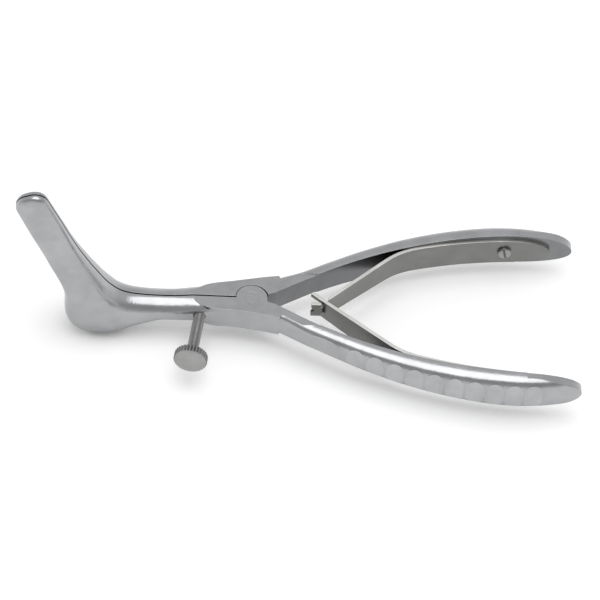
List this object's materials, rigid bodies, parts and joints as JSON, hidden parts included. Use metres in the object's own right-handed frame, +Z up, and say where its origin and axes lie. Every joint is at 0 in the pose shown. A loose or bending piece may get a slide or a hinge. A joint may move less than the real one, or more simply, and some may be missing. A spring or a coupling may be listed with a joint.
{
  "type": "nasal speculum",
  "caption": "Hand-held steel nasal speculum: two angled blades on a riveted lap joint, curved fluted handles, a thumb screw stop and a double leaf spring.",
  "frame": {"origin": "on the pivot axis at the flat underside of the joint", "axes": "+X towards the handles, +Y towards the arm without the thumb screw, +Z up the pivot"},
  "size_m": [0.1421, 0.0532, 0.0474],
  "materials": {
    "arm_steel": "satin stainless steel",
    "spring_steel": "satin spring steel, slightly warmer and darker",
    "screw_steel": "turned stainless steel"
  },
  "bodies": {
    "screw_side": {"screw_side_arm": "arm_steel", "pivot_pin": "arm_steel", "screw_side_leaf_spring": "spring_steel", "screw_side_spring_screw": "screw_steel"},
    "plain_side": {"plain_side_arm": "arm_steel", "plain_side_leaf_spring": "spring_steel", "plain_side_spring_screw": "screw_steel"},
    "stop_screw": {"thumb_screw": "screw_steel"}
  },
  "joints": [
    {"name": "blade_spread", "type": "hinge", "parent": "screw_side", "child": "plain_side", "pos_m": [0, 0, 0.00325], "axis": [0, 0, -1], "range_deg": [0, 25], "stiffness_Nm_per_rad": 1.2, "deforming": ["screw_side_leaf_spring", "plain_side_leaf_spring"]},
    {"name": "thumb_screw_feed", "type": "slide", "parent": "screw_side", "child": "stop_screw", "axis": [0.1633, 0.9866, 0], "range_m": [0, 0.0054]}
  ],
  "couplings": [
    {"joint": "thumb_screw_feed", "follows": "blade_spread", "m_per_rad": 0.01224}
  ]
}
